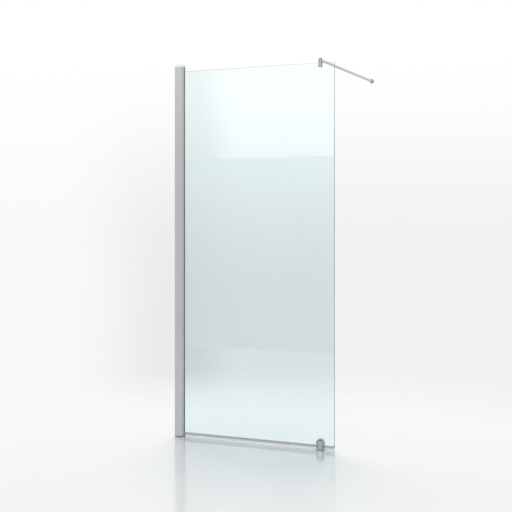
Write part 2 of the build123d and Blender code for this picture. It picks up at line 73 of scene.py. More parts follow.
def rounded(corners, radii, steps=5):
    """Closed outline of a polygon with rounded corners.

    Each corner C becomes the arc (1-t)(1-t)A + 2t(1-t)C + t t B for t from 0 to 1. A and B lie on the
    corner's two sides, one radius from it.
    """
    corner = np.asarray(corners, float)
    radius = np.broadcast_to(np.asarray(radii, float), len(corner))[:, None]
    back = np.roll(corner, 1, axis=0) - corner
    ahead = np.roll(corner, -1, axis=0) - corner
    start = corner + radius * back / np.linalg.norm(back, axis=1, keepdims=True)
    end = corner + radius * ahead / np.linalg.norm(ahead, axis=1, keepdims=True)
    t = np.linspace(0, 1, steps)[None, :, None]
    arcs = (1 - t) ** 2 * start[:, None] + 2 * t * (1 - t) * corner[:, None] + t ** 2 * end[:, None]
    return arcs.reshape(-1, 2)


def eased_ends(low, high, ease, count):
    """Stations from low to high, with close ones at both ends, and how far each is drawn in.

    The end stations follow a quarter circle of radius ease: a station d from the end is drawn in by
    ease - sqrt(ease^2 - (ease - d)^2).
    """
    quarter = ease * (1 - np.cos(np.linspace(0, np.pi / 2, 5)))
    along = np.concatenate([low + quarter, np.linspace(low + ease, high - ease, count)[1:-1],
                            high - quarter[::-1]])
    depth = np.clip(ease - np.minimum(along - low, high - along), 0, ease)
    return along, ease - np.sqrt(np.maximum(ease ** 2 - depth ** 2, 0))


def drawn_in(section, amounts):
    """Copies of a closed section, each moved inwards along its own corner normals by one amount.

    A point's normal is the side from the point before it to the point after it, turned by a quarter.
    """
    side = np.roll(section, -1, axis=0) - np.roll(section, 1, axis=0)
    normal = np.stack([-side[:, 1], side[:, 0]], axis=1)
    normal /= np.maximum(np.linalg.norm(normal, axis=1, keepdims=True), 1e-12)
    turning = np.sum(section[:, 0] * np.roll(section[:, 1], -1) - np.roll(section[:, 0], -1) * section[:, 1])
    return section[None] + np.sign(turning) * amounts[:, None, None] * normal[None]


def carried(name, sections, along, axis):
    """A closed section carried along the axis, as a closed mesh at the origin.

    Point (i, j) has along[i] on the axis and sections[i, j] on the other two axes, in their order. Faces
    join it to (i, j+1), (i+1, j+1) and (i+1, j), and one face closes each end.
    """
    rows, columns = sections.shape[:2]
    points = np.empty((rows, columns, 3))
    points[:, :, [k for k in range(3) if k != axis]] = sections
    points[:, :, axis] = along[:, None]
    i, j = np.meshgrid(np.arange(rows - 1), np.arange(columns), indexing="ij")
    after = (j + 1) % columns
    quads = np.stack([i * columns + j, i * columns + after, (i + 1) * columns + after, (i + 1) * columns + j],
                     axis=-1).reshape(-1, 4)
    ends = [np.arange(columns)[::-1].tolist(), ((rows - 1) * columns + np.arange(columns)).tolist()]
    return solid(name, points.reshape(-1, 3), quads.tolist() + ends)


def solid(name, points, faces):
    """A mesh object of these points and faces, merged, facing outwards, smooth but for its sharp edges.

    Faces of more than four corners are cut into triangles, so that hollow ends stay hollow.
    """
    mesh = bpy.data.meshes.new(name)
    mesh.from_pydata(points, [], faces)
    shape = bmesh.new()
    shape.from_mesh(mesh)
    bmesh.ops.remove_doubles(shape, verts=shape.verts, dist=1e-7)
    bmesh.ops.recalc_face_normals(shape, faces=shape.faces)
    bmesh.ops.triangulate(shape, faces=[face for face in shape.faces if len(face.verts) > 4],
                          ngon_method="EAR_CLIP")
    shape.to_mesh(mesh)
    shape.free()
    mesh.shade_smooth()
    mesh.set_sharp_from_angle(angle=math.radians(40))
    made = bpy.data.objects.new(name, mesh)
    bpy.context.scene.collection.objects.link(made)
    return made


def joined(name, objects):
    """One object from several, under a name."""
    with bpy.context.temp_override(active_object=objects[0], selected_editable_objects=objects):
        bpy.ops.object.join()
    objects[0].name = objects[0].data.name = name
    return objects[0]


def soft_waves(along, height, lengths, seed):
    """A gentle wave along a soft piece: the mean of sines of these wave lengths, at seeded phases."""
    phases = np.random.default_rng(seed).uniform(0, 2 * np.pi, len(lengths))
    turns = 2 * np.pi * along[:, None] / np.asarray(lengths)[None]
    return height * np.mean(np.sin(turns + phases[None]), axis=1)


def place(piece, body, slot, material, *nodes):
    """Puts a new piece on its body in place of its CAD nodes, with its material. The slot is not used."""
    piece.data.materials.append(material)
    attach(piece, body)
    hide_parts(*nodes)


def dress(nodes, material):
    """Gives CAD nodes a material through the slots that they have."""
    for name in nodes:
        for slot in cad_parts[name].material_slots:
            slot.material = material


# Finishes -----------------------------------------------------------------------------------------

class Wire:
    """A node's output. Arithmetic on it adds Math nodes."""

    def __init__(self, nodes, socket):
        self.nodes = nodes
        self.socket = socket

    def math(self, operation, *values):
        return self.nodes.add("ShaderNodeMath", {"operation": operation}, dict(enumerate(values)))

    def __add__(self, other):
        return self.math("ADD", self, other)

    def __radd__(self, other):
        return self.math("ADD", other, self)

    def __sub__(self, other):
        return self.math("SUBTRACT", self, other)

    def __rsub__(self, other):
        return self.math("SUBTRACT", other, self)

    def __mul__(self, other):
        return self.math("MULTIPLY", self, other)

    def __rmul__(self, other):
        return self.math("MULTIPLY", other, self)

    def __abs__(self):
        return self.math("ABSOLUTE", self)


class Nodes:
    """The node tree of a material or of the world, and the few patterns that the finishes share."""

    def __init__(self, owner):
        owner.use_nodes = True
        self.owner = owner
        self.tree = owner.node_tree
        self.tree.nodes.clear()

    def add(self, kind, settings=None, values=None, output=0):
        """Adds a node: its settings first, then a value or a wire for each input, by name or number."""
        node = self.tree.nodes.new(kind)
        for name, value in (settings or {}).items():
            setattr(node, name, value)
        for key, value in (values or {}).items():
            if isinstance(value, Wire):
                self.tree.links.new(value.socket, node.inputs[key])
            else:
                node.inputs[key].default_value = value
        return Wire(self, node.outputs[output]) if node.outputs else None

    def place(self, stretch=(1, 1, 1)):
        """Object coordinates, which are the frame's metres, times one factor for each axis."""
        point = self.add("ShaderNodeTexCoord", output="Object")
        return self.add("ShaderNodeVectorMath", {"operation": "MULTIPLY"}, {0: point, 1: stretch})

    def noise(self, stretch, scale=1.0, detail=2.0, roughness=0.5):
        """Noise from 0 to 1 on stretched object coordinates."""
        return self.add("ShaderNodeTexNoise", None,
                        {"Vector": self.place(stretch), "Scale": scale, "Detail": detail,
                         "Roughness": roughness})

    def ramp(self, value, low, high):
        """0 below low, 1 above high, and smooth between them."""
        return self.add("ShaderNodeMapRange", {"interpolation_type": "SMOOTHSTEP"},
                        {"Value": value, "From Min": low, "From Max": high})

    def mix(self, share, first, second):
        """A colour between two, by a share from 0 to 1."""
        return self.add("ShaderNodeMix", {"data_type": "RGBA"}, {0: share, 6: first, 7: second}, output=2)

    def drops(self, scale, wear):
        """Rings that dried drops leave: 1 on the rim of each, 0 elsewhere, and fewer with more wear."""
        cell = self.add("ShaderNodeTexVoronoi", {"feature": "F1"},
                        {"Vector": self.place(), "Scale": scale, "Randomness": 1.0}, output="Distance")
        rim = self.ramp(cell, 0.12, 0.17) * (1 - self.ramp(cell, 0.19, 0.27))
        return rim * self.ramp(self.noise((1, 1, 1), scale / 4), wear, wear + 0.12)

    def bump(self, height, strength, distance):
        return self.add("ShaderNodeBump", None,
                        {"Strength": strength, "Distance": distance, "Height": height})

    def principled(self, **values):
        """A Principled shader; a name's underscores stand for spaces."""
        named = {name.replace("_", " "): value for name, value in values.items()}
        return self.add("ShaderNodeBsdfPrincipled", None, named)

    def through_shadows(self, shader, tint):
        """Lets lamps through a clear surface: shadow rays meet a tinted transparent shader instead."""
        shadow = self.add("ShaderNodeLightPath", output="Is Shadow Ray")
        clear = self.add("ShaderNodeBsdfTransparent", None, {"Color": tint})
        return self.add("ShaderNodeMixShader", None, {0: shadow, 1: shader, 2: clear})

    def finish(self, surface, kind="ShaderNodeOutputMaterial"):
        self.add(kind, None, {"Surface": surface})
        return self.owner


def opaque(colour):
    return (*colour, 1.0)


def shade(colour, share):
    """A colour times a share, with full alpha."""
    return (*(c * share for c in colour), 1.0)


def material_nodes(name):
    return Nodes(bpy.data.materials.new(name))


def aluminium_finish(colour):
    """Polished anodised extrusion: draw lines along Z, soft clouds, faint marks, and a painted highlight that
    makes faces towards ±X lighter.
    """
    n = material_nodes("polished_aluminium")
    normal = n.add("ShaderNodeNewGeometry", output="Normal")
    # Painted highlight: faces whose normal points along ±X get a colour 1.6 times lighter
    ends = n.ramp(abs(n.add("ShaderNodeSeparateXYZ", None, {0: normal}, output="X")), 0.85, 0.97)
    lines = n.noise((900, 900, 1.5), detail=2.0)
    clouds = n.noise((7, 7, 2.5), detail=4.0)
    marks = n.ramp(n.noise((90, 90, 24), detail=5.0, roughness=0.7), 0.56, 0.72)
    tone = n.mix(clouds, shade(colour, 0.95), shade(colour, 1.04))
    # The base colour carries the painted highlight on the ±X faces
    return n.finish(n.principled(
        Base_Color=n.mix(ends, n.mix(marks * 0.25, tone, shade(colour, 0.86)), shade(colour, 1.6)),
        Metallic=1.0,
        Roughness=0.11 + lines * 0.05 + clouds * 0.05 + marks * 0.05,
        Normal=n.bump(lines, 0.05, 0.02 * MM)))


def chrome_finish(colour):
    """Polished chrome: a clear mirror with wiping haze and the rims of a few dried drops."""
    n = material_nodes("polished_chrome")
    haze = n.noise((30, 30, 12), detail=4.0, roughness=0.6)
    wipes = n.noise((700, 700, 40), detail=2.0)
    rims = n.drops(150.0, 0.5)
    return n.finish(n.principled(
        Base_Color=n.mix(haze * 0.5 + rims * 0.3, opaque(colour), shade(colour, 0.9)),
        Metallic=1.0,
        Roughness=0.03 + haze * 0.07 + wipes * 0.03 + rims * 0.12,
        Normal=n.bump(haze, 0.05, 0.05 * MM)))


def steel_finish(colour):
    """Machined stainless steel: turning marks across the screw, and darker recesses of tool wear."""
    n = material_nodes("machined_steel")
    turning = n.noise((150, 4200, 4200), detail=2.0)
    wear = n.noise((900, 900, 900), detail=4.0)
    return n.finish(n.principled(
        Base_Color=n.mix(wear, shade(colour, 0.82), shade(colour, 1.05)),
        Metallic=1.0,
        Roughness=0.22 + turning * 0.18 + wear * 0.08,
        Normal=n.bump(turning, 0.2, 0.02 * MM)))


def clear_glass_finish(face, edge, shadow):
    """Clear toughened glass: nearly clear faces, green ground edges and faint dried drops."""
    n = material_nodes("clear_glass")
    normal = n.add("ShaderNodeNewGeometry", output="Normal")
    facing = abs(n.add("ShaderNodeSeparateXYZ", None, {0: normal}, output="Y"))
    ground = 1 - n.ramp(facing, 0.9, 0.97)
    rims = n.drops(70.0, 0.55)
    haze = n.ramp(n.noise((4, 4, 1.6), detail=5.0, roughness=0.6), 0.45, 0.85)
    glass = n.principled(
        Base_Color=n.mix(ground, opaque(face), opaque(edge)),
        Roughness=haze * 0.012 + rims * 0.05 + ground * 0.18,
        IOR=1.5,
        Transmission_Weight=1.0)
    return n.finish(n.through_shadows(glass, opaque(shadow)))


def satin_finish(colour):
    """Satin print: a fine grain that scatters what is behind it, a little uneven in density."""
    n = material_nodes("satin_print")
    grain = n.noise((1, 1, 1), scale=2600.0, detail=2.0)
    clouds = n.noise((5, 5, 5), detail=5.0, roughness=0.6)
    satin = n.principled(
        Base_Color=n.mix(clouds, shade(colour, 0.985), shade(colour, 1.01)),
        Roughness=0.17 + grain * 0.06 + clouds * 0.04,
        IOR=1.2,
        Transmission_Weight=0.9,
        Normal=n.bump(grain, 0.3, 0.02 * MM))
    return n.finish(n.through_shadows(satin, shade(colour, 0.92)))


def seal_finish(colour):
    """Grey translucent seal: soft gloss, long draw lines along X and dust in its surface."""
    n = material_nodes("grey_seal")
    lines = n.noise((4, 1500, 1500), detail=2.0)
    dust = n.noise((1, 1, 1), scale=420.0, detail=5.0, roughness=0.7)
    return n.finish(n.principled(
        Base_Color=n.mix(dust, shade(colour, 0.86), shade(colour, 1.08)),
        Roughness=0.26 + dust * 0.18 + lines * 0.06,
        Subsurface_Weight=0.25,
        Subsurface_Radius=(1.0, 1.0, 1.0),
        Subsurface_Scale=1.5 * MM,
        Normal=n.bump(lines, 0.2, 0.03 * MM)))


def lip_finish(colour):
    """Milky soft lip: glossy and mostly see-through, with draw lines along X and a little haze."""
    n = material_nodes("clear_lip")
    lines = n.noise((4, 1500, 1500), detail=2.0)
    haze = n.noise((60, 60, 60), detail=4.0)
    lip = n.principled(
        Base_Color=n.mix(haze, shade(colour, 0.95), shade(colour, 1.03)),
        Roughness=0.08 + haze * 0.12 + lines * 0.06,
        IOR=1.3,
        Transmission_Weight=0.7,
        Normal=n.bump(lines, 0.1, 0.03 * MM))
    return n.finish(n.through_shadows(lip, shade(colour, 0.95)))


def rubber_finish(colour):
    """Dark soft rubber: matt, with fine grain and pale bloom."""
    n = material_nodes("dark_rubber")
    grain = n.noise((1, 1, 1), scale=2200.0, detail=2.0)
    bloom = n.ramp(n.noise((60, 60, 14), detail=5.0, roughness=0.65), 0.5, 0.75)
    return n.finish(n.principled(
        Base_Color=n.mix(bloom * 0.4, opaque(colour), shade(colour, 1.7)),
        Roughness=0.5 + grain * 0.2 + bloom * 0.1,
        Normal=n.bump(grain, 0.35, 0.05 * MM)))


def plastic_finish(name, colour, gloss):
    """Moulded plastic: a fine spark texture, slight shading of its colour and rubbed patches."""
    n = material_nodes(name)
    spark = n.noise((1, 1, 1), scale=1500.0, detail=3.0)
    tone = n.noise((25, 25, 25), detail=4.0)
    rubbed = n.ramp(n.noise((160, 160, 160), detail=4.0), 0.55, 0.7)
    return n.finish(n.principled(
        Base_Color=n.mix(tone, shade(colour, 0.96), shade(colour, 1.03)),
        Roughness=gloss + spark * 0.15 - rubbed * 0.08,
        Normal=n.bump(spark, 0.25, 0.04 * MM)))


def liner_finish(colour):
    """Clear soft liner: waxy and half see-through, with fine streaks and trapped bubbles."""
    n = material_nodes("clear_liner")
    streaks = n.noise((900, 900, 60), detail=3.0)
    bubbles = n.add("ShaderNodeTexVoronoi", {"feature": "F1"},
                    {"Vector": n.place(), "Scale": 900.0}, output="Distance")
    liner = n.principled(
        Base_Color=n.mix(streaks, shade(colour, 0.93), shade(colour, 1.05)),
        Roughness=0.2 + streaks * 0.2,
        IOR=1.4,
        Transmission_Weight=0.6,
        Normal=n.bump(n.ramp(bubbles, 0.0, 0.25), 0.15, 0.03 * MM))
    return n.finish(n.through_shadows(liner, shade(colour, 0.9)))


def floor_finish(colour, roughness, middle, solid_to, gone_at):
    """Pale polished floor: a soft mirror with faint clouds, which fades out away from its middle."""
    n = material_nodes("pale_floor")
    clouds = n.noise((1.1, 1.1, 1.1), detail=4.0, roughness=0.55)
    floor = n.principled(
        Base_Color=n.mix(clouds, shade(colour, 0.99), shade(colour, 1.01)),
        Roughness=roughness - 0.02 + clouds * 0.04)
    distance = n.add("ShaderNodeVectorMath", {"operation": "DISTANCE"}, {0: n.place(), 1: middle},
                     output="Value")
    clear = n.add("ShaderNodeBsdfTransparent", None, {"Color": WHITE})
    return n.finish(n.add("ShaderNodeMixShader", None,
                          {0: n.ramp(distance, solid_to, gone_at), 1: floor, 2: clear}))


# Settings -----------------------------------------------------------------------------------------

def length(name, description, default):
    return FloatProperty(name=name, description=description, default=default, min=0.0, unit="LENGTH",
                         precision=5)


def colour(name, description, default):
    return FloatVectorProperty(name=name, description=description, default=default, size=3, min=0.0,
                               max=1.0, subtype="COLOR")


def strength(name, description, default):
    return FloatProperty(name=name, description=description, default=default, min=0.0)


def angle(name, description, degrees):
    return FloatProperty(name=name, description=description, default=math.radians(degrees),
                         subtype="ANGLE")


def direction(name, description, default):
    return FloatVectorProperty(name=name, description=description, default=default, size=3,
                               subtype="DIRECTION")


def place_in_room(name, description, default):
    return FloatVectorProperty(name=name, description=description, default=default, size=3,
                               unit="LENGTH", subtype="TRANSLATION")


class ScreenSizes(bpy.types.PropertyGroup):
    """Sizes of the soft pieces"""
    print_gap: length("Print gap", "Room between the glass and the satin print", 0.03 * MM)
    print_thickness: length("Print thickness", "Thickness of the satin print", 0.1 * MM)
    print_rounding: length("Print rounding", "Rounding of the corners of the satin print", 0.4 * MM)
    touch_gap: length("Touch gap", "Room left where a soft piece meets another surface", 0.04 * MM)
    soft_rounding: length("Soft rounding", "Rounding of the edges of soft pieces", 0.45 * MM)
    gasket_wave: length("Gasket wave", "Wave along the lip of the glazing gaskets", 0.08 * MM)
    seal_wall: length("Seal wall", "Thickness of the walls of the bottom seal", 1.4 * MM)
    fin_thickness: length("Fin thickness", "Thickness of the fin of the bottom seal", 0.9 * MM)
    fin_reach: length("Fin reach", "How far the fin's tip is in front of its root", 4.6 * MM)
    fin_wave: length("Fin wave", "Wave along the tip of the fin", 0.35 * MM)


class ScreenColours(bpy.types.PropertyGroup):
    """Colours of the finishes"""
    aluminium: colour("Aluminium", "Polished aluminium of the two profiles", (0.53, 0.543, 0.543))
    chrome: colour("Chrome", "Polished chrome of the foot, clamp and brace", (0.51, 0.516, 0.514))
    steel: colour("Steel", "Stainless steel of the screws", (0.58, 0.58, 0.57))
    glass_face: colour("Glass face", "Clear glass seen through its faces", (0.862, 0.955, 0.96))
    glass_shadow: colour("Glass shadow", "What the glass lets through of a lamp's light from high above",
                         (0.60, 0.70, 0.705))
    glass_edge: colour("Glass edge", "Ground edges of the glass", (0.50, 0.60, 0.59))
    satin: colour("Satin print", "Satin print on the glass", (0.975, 0.975, 0.98))
    seal: colour("Seal", "Seal on the lower edge of the glass", (0.50, 0.55, 0.55))
    seal_lip: colour("Seal lip", "Milky lip under the seal", (0.86, 0.885, 0.885))
    rubber: colour("Rubber", "Glazing gaskets and the channel's lower gasket", (0.14, 0.155, 0.155))
    cap: colour("Top cap", "Pale plastic of the top cap", (0.86, 0.87, 0.87))
    block: colour("Blocks", "Grey plastic of the blocks and screw caps", (0.50, 0.51, 0.52))
    liner: colour("Liner", "Clear liners of the foot and the clamp", (0.82, 0.85, 0.85))


class StudioSettings(bpy.types.PropertyGroup):
    """Floor, light and camera"""
    floor: colour("Floor", "Pale floor", (0.745, 0.757, 0.761))
    floor_roughness: FloatProperty(name="Floor roughness", description="Roughness of the floor",
                                   default=0.13, min=0.0, max=1.0, subtype="FACTOR")
    floor_middle: place_in_room("Floor middle", "Where the floor's fading is centred", (0.5, -0.8, 0.0))
    floor_solid_to: length("Floor solid to", "Distance from its middle to which the floor is solid", 1.5)
    floor_gone_at: length("Floor gone at", "Distance from its middle at which the floor has faded", 3.5)
    backdrop_low: colour("Backdrop, low", "Backdrop below eye level", (0.885, 0.89, 0.89))
    backdrop_high: colour("Backdrop, high", "Backdrop above the object", (1.0, 1.0, 1.0))
    # Painted shade: the backdrop seen low down through the glass is darker than the rest
    backdrop_behind_painted_shade: colour("Backdrop behind the glass", "Backdrop seen low down through the glass",
                            (0.79, 0.79, 0.79))
    room_light: strength("Room light", "Light from all round", 0.5)
    key_strength: strength("Key lamp", "Strength of the soft lamp high above", 1.7)
    key_width: angle("Key lamp width", "Angle that the soft lamp fills", 28)
    key_aim: direction("Key lamp aim", "Direction in which the lamp shines", (0.2, -0.34, -0.92))
    fill_strength: strength("Fill lamp", "Strength of the soft lamp in front", 1.3)
    fill_width: angle("Fill lamp width", "Angle that the lamp in front fills", 60)
    fill_aim: direction("Fill lamp aim", "Direction in which the lamp shines", (-0.35, 0.92, -0.1))
    camera_place: place_in_room("Camera place", "Where the camera stands", (2.6015, -4.8648, 1.1917))
    camera_turn: angle("Camera turn", "Turn of the level camera from +Y", 23.63)
    focal_pixels: FloatProperty(name="Focal length", description="Focal length in pixels of the photograph",
                                default=1012.0, min=1.0)
    horizon: FloatProperty(name="Horizon", description="Row of the horizon in the photograph",
                           default=216.5)


# Operators ----------------------------------------------------------------------------------------

class SCREEN_OT_profiles(bpy.types.Operator):
    """Give the wall channel and the glass profile their polished aluminium"""
    bl_idname = "shower_screen.profiles"
    bl_label = "Wall profiles"

    def execute(self, context):
        dress(["wall_channel", "glass_profile"], aluminium_finish(context.scene.screen_colours.aluminium))
        return {"FINISHED"}


class SCREEN_OT_glass(bpy.types.Operator):
    """Give the panel its clear glass"""
    bl_idname = "shower_screen.glass"
    bl_label = "Glass panel"

    def execute(self, context):
        colours = context.scene.screen_colours
        dress(["glass_panel"],
              clear_glass_finish(colours.glass_face, colours.glass_edge, colours.glass_shadow))
        return {"FINISHED"}


class SCREEN_OT_satin_band(bpy.types.Operator):
    """Lay the satin print on the inner face of the glass"""
    bl_idname = "shower_screen.satin_band"
    bl_label = "Satin band"

    def execute(self, context):
        sizes = context.scene.screen_sizes
        low, high = box("satin_band")
        near = low[1] + sizes.print_gap
        far = near + sizes.print_thickness
        edge = 0.45 * sizes.print_thickness
        section = rounded([(low[0], near), (high[0], near), (high[0], far), (low[0], far)], edge)
        along, inset = eased_ends(low[2], high[2], sizes.print_rounding, 24)
        sections = np.broadcast_to(section, (len(along), *section.shape)).copy()
        middle = (low[0] + high[0]) / 2
        sections[:, :, 0] -= np.sign(section[None, :, 0] - middle) * inset[:, None]
        band = carried("satin_band_print", sections, along, axis=2)
        place(band, "screen", "satin_glass", satin_finish(context.scene.screen_colours.satin), "satin_band")
        return {"FINISHED"}


class SCREEN_OT_gaskets(bpy.types.Operator):
    """Press the dark glazing gaskets between the glass profile and the glass, and lay the lower gasket"""
    bl_idname = "shower_screen.gaskets"
    bl_label = "Gaskets"

    def execute(self, context):
        sizes = context.scene.screen_sizes
        rubber = rubber_finish(context.scene.screen_colours.rubber)
        for name, side in (("gasket_front", -1), ("gasket_rear", 1)):
            self.glazing(name, side, sizes, rubber)
        self.lower(sizes, rubber)
        return {"FINISHED"}

    def glazing(self, name, side, sizes, rubber):
        """A foot inside the nose of the profile, a neck past its small lip and a round lip over its end.

        inner, neck, foot and outer are distances from the glass's middle plane. The nose ends at mouth,
        and the neck begins at step.
        """
        low, high = box(name)
        mouth = box("glass_profile")[1][0]
        inner, outer = sorted((abs(low[1]), abs(high[1])))
        inner += sizes.touch_gap
        foot, neck = inner + 1.3 * MM, inner + 0.7 * MM
        step = mouth - 1.4 * MM
        outline = [(low[0], inner), (high[0], inner), (high[0], outer), (mouth, outer), (mouth, neck),
                   (step, neck), (step, foot), (low[0], foot)]
        radii = np.array([0.3, 0.3, 0.8, 0.3, 0.1, 0.1, 0.25, 0.3]) * MM
        section = rounded(outline, radii, steps=6) * (1, side)
        along, inset = eased_ends(low[2], high[2], 0.15 * MM, 90)
        sections = drawn_in(section, inset)
        lip = np.clip((section[None, :, 0] - mouth) / (high[0] - mouth), 0, 1)
        wave = soft_waves(along, sizes.gasket_wave, (0.9, 0.37, 0.11), seed=11 + side) - sizes.gasket_wave
        sections[:, :, 0] += lip * wave[:, None]
        gasket = carried(name + "_soft", sections, along, axis=2)
        place(gasket, "screen", "dark_rubber", rubber, name)

    def lower(self, sizes, rubber):
        """A flat U under the channel's web and walls, open towards the glass, clear of the profile."""
        low, high = box("channel_base_gasket")
        room, web = 0.35 * MM, 5.3 * MM
        inner = box("glass_profile")[1][1] + room
        back = low[0] + web
        outline = [(low[0], low[1]), (high[0], low[1]), (high[0], -inner), (back, -inner), (back, inner),
                   (high[0], inner), (high[0], high[1]), (low[0], high[1])]
        section = rounded(outline, sizes.soft_rounding)
        along, inset = eased_ends(low[2], high[2], 0.25 * MM, 5)
        gasket = carried("channel_base_gasket_soft", drawn_in(section, inset), along, axis=2)
        place(gasket, "wall_fixing", "dark_rubber", rubber, "channel_base_gasket")


class SCREEN_OT_bottom_seals(bpy.types.Operator):
    """Clip the grey seal with its milky lip on the lower edge of the glass, either side of the foot"""
    bl_idname = "shower_screen.bottom_seals"
    bl_label = "Bottom seals"

    def execute(self, context):
        sizes = context.scene.screen_sizes
        colours = context.scene.screen_colours
        grey, clear = seal_finish(colours.seal), lip_finish(colours.seal_lip)
        for name, count in (("bottom_seal_long", 150), ("bottom_seal_short", 16)):
            low, high = box(name)
            along, inset = eased_ends(low[0], high[0], 0.25 * MM, count)
            body = carried(name + "_body", drawn_in(self.body(low, high, sizes), inset), along, axis=0)
            place(body, "screen", "grey_seal", grey, name)
            line, down = self.lip(low, sizes)
            sections = drawn_in(line, inset)
            wave = soft_waves(along, sizes.fin_wave, (0.31, 0.13, 0.047), seed=5)
            sections[:, :, 0] += down[None] * (wave[:, None] - sizes.fin_wave)
            sections[:, :, 1] += down[None] * (sizes.fin_wave + wave[:, None]) / 3
            lip = carried(name + "_lip", sections, along, axis=0)
            place(lip, "screen", "clear_liner", clear, name)
        return {"FINISHED"}

    def base(self, sizes):
        """Height of the seal's underside."""
        return box("glass_panel")[0][2] - sizes.touch_gap - sizes.seal_wall

    def body(self, low, high, sizes):
        """Y and Z of a U whose two arms grip the glass."""
        grip = box("glass_panel")[1][1] + sizes.touch_gap
        half, base = -low[1], self.base(sizes)
        floor = base + sizes.seal_wall
        return rounded([(half, base), (half, high[2]), (grip, high[2]), (grip, floor), (-grip, floor),
                        (-grip, high[2]), (-half, high[2]), (-half, base)],
                       np.array([0.5, 0.6, 0.6, 0.2, 0.2, 0.6, 0.6, 0.5]) * MM)

    def lip(self, low, sizes):
        """Y and Z of the thin lip under the seal, and how far each point is down it, from 0 to 1.

        Its middle line runs from the seal's underside to its tip, just above the floor, and bends forward
        with the power 1.8 of t. Its two sides are that line moved apart by half its thickness, which
        shrinks towards the tip.
        """
        t = np.linspace(0, 1, 12)
        root, base = -0.5 * MM, self.base(sizes) - sizes.touch_gap
        tip = low[2] + 0.2 * MM
        middle = np.stack([root + (sizes.fin_reach - root) * t ** 1.8, base + (tip - base) * t], axis=1)
        slope = np.gradient(middle, axis=0)
        across = np.stack([slope[:, 1], -slope[:, 0]], axis=1)
        across /= np.linalg.norm(slope, axis=1, keepdims=True)
        thick = sizes.fin_thickness / 2 * (1.25 - 0.55 * t)[:, None]
        line = np.concatenate([middle + across * thick, (middle - across * thick)[::-1]])
        return line, np.concatenate([t, t[::-1]]) ** 2


class SCREEN_OT_liners(bpy.types.Operator):
    """Put the clear liners between the glass and its foot and clamp, and the pad under the foot"""
    bl_idname = "shower_screen.liners"
    bl_label = "Liners and pad"

    def execute(self, context):
        sizes = context.scene.screen_sizes
        clear = liner_finish(context.scene.screen_colours.liner)
        self.foot(sizes, clear)
        self.clamp(sizes, clear)
        self.pad(clear)
        return {"FINISHED"}

    def foot(self, sizes, clear):
        """Two strips with round edges."""
        low, high = box("foot_liners")
        glass = box("glass_panel")[1][1]
        strips = []
        for side in (-1, 1):
            near, far = glass + sizes.touch_gap, high[1] - sizes.touch_gap
            section = rounded([(low[0], near), (high[0], near), (high[0], far), (low[0], far)],
                              sizes.soft_rounding) * (1, side)
            along, inset = eased_ends(low[2], high[2], sizes.soft_rounding / 2, 6)
            strips.append(carried(f"strip_{side}", drawn_in(section, inset), along, axis=2))
        place(joined("foot_liners_soft", strips), "screen", "clear_liner", clear, "foot_liners")

    def clamp(self, sizes, clear):
        """A saddle over the edge of the glass."""
        low, high = box("clamp_liner")
        glass = box("glass_panel")[1]
        near, far = glass[1] + sizes.touch_gap, high[1] - sizes.touch_gap
        under, top = glass[2] + sizes.touch_gap, high[2] - sizes.touch_gap
        section = rounded([(-far, low[2]), (-near, low[2]), (-near, under), (near, under), (near, low[2]),
                           (far, low[2]), (far, top), (-far, top)],
                          np.array([0.4, 0.4, 0.3, 0.3, 0.4, 0.4, 0.8, 0.8]) * MM)
        along, inset = eased_ends(low[0], high[0], sizes.soft_rounding / 2, 6)
        saddle = carried("clamp_liner_soft", drawn_in(section, inset), along, axis=0)
        place(saddle, "screen", "clear_liner", clear, "clamp_liner")

    def pad(self, clear):
        """A ring: its section is a rounded rectangle, turned about the foot's axis.

        Point (i, j) is at angle a(i) round the axis, with section j giving its radius and its height.
        """
        low, high = box("foot_pad")
        middle = (low + high) / 2
        hole, outer = 3.4 * MM, (high[0] - low[0]) / 2
        section = rounded([(hole, low[2]), (outer, low[2]), (outer, high[2]), (hole, high[2])], 0.4 * MM)
        turn = np.linspace(0, 2 * np.pi, 96, endpoint=False)
        radius, height = section[:, 0], section[:, 1]
        points = np.stack([middle[0] + np.cos(turn)[:, None] * radius,
                           middle[1] + np.sin(turn)[:, None] * radius,
                           np.broadcast_to(height, (len(turn), len(height)))], axis=-1)
        rows, columns = points.shape[:2]
        i, j = np.meshgrid(np.arange(rows), np.arange(columns), indexing="ij")
        next_i, next_j = (i + 1) % rows, (j + 1) % columns
        quads = np.stack([i * columns + j, next_i * columns + j, next_i * columns + next_j,
                          i * columns + next_j], axis=-1).reshape(-1, 4)
        pad = solid("foot_pad_soft", points.reshape(-1, 3), quads.tolist())
        place(pad, "screen", "clear_liner", clear, "foot_pad")


class SCREEN_OT_hardware(bpy.types.Operator):
    """Give the foot, the clamp, the brace and its wall cover their chrome"""
    bl_idname = "shower_screen.hardware"
    bl_label = "Chrome hardware"

    def execute(self, context):
        dress(["foot_post", "clamp_body", "brace_head", "brace_bar", "wall_base", "flange_cover"],
              chrome_finish(context.scene.screen_colours.chrome))
        return {"FINISHED"}


class SCREEN_OT_screws(bpy.types.Operator):
    """Give the screws and nut plates their machined steel"""
    bl_idname = "shower_screen.screws"
    bl_label = "Screws and nut plates"

    def execute(self, context):
        dress(["locking_screws", "locking_nut_plates", "foot_set_screws", "clamp_set_screw",
               "head_pivot_screw", "bar_set_screws"], steel_finish(context.scene.screen_colours.steel))
        return {"FINISHED"}


class SCREEN_OT_plastics(bpy.types.Operator):
    """Give the top cap, the screw caps and the setting blocks their moulded plastic"""
    bl_idname = "shower_screen.plastics"
    bl_label = "Plastic parts"

    def execute(self, context):
        colours = context.scene.screen_colours
        dress(["profile_top_cap"], plastic_finish("pale_plastic", colours.cap, 0.32))
        dress(["locking_screw_caps", "edge_setting_blocks", "pocket_bottom_block", "pocket_top_filler",
               "foot_setting_block"], plastic_finish("grey_plastic", colours.block, 0.4))
        return {"FINISHED"}


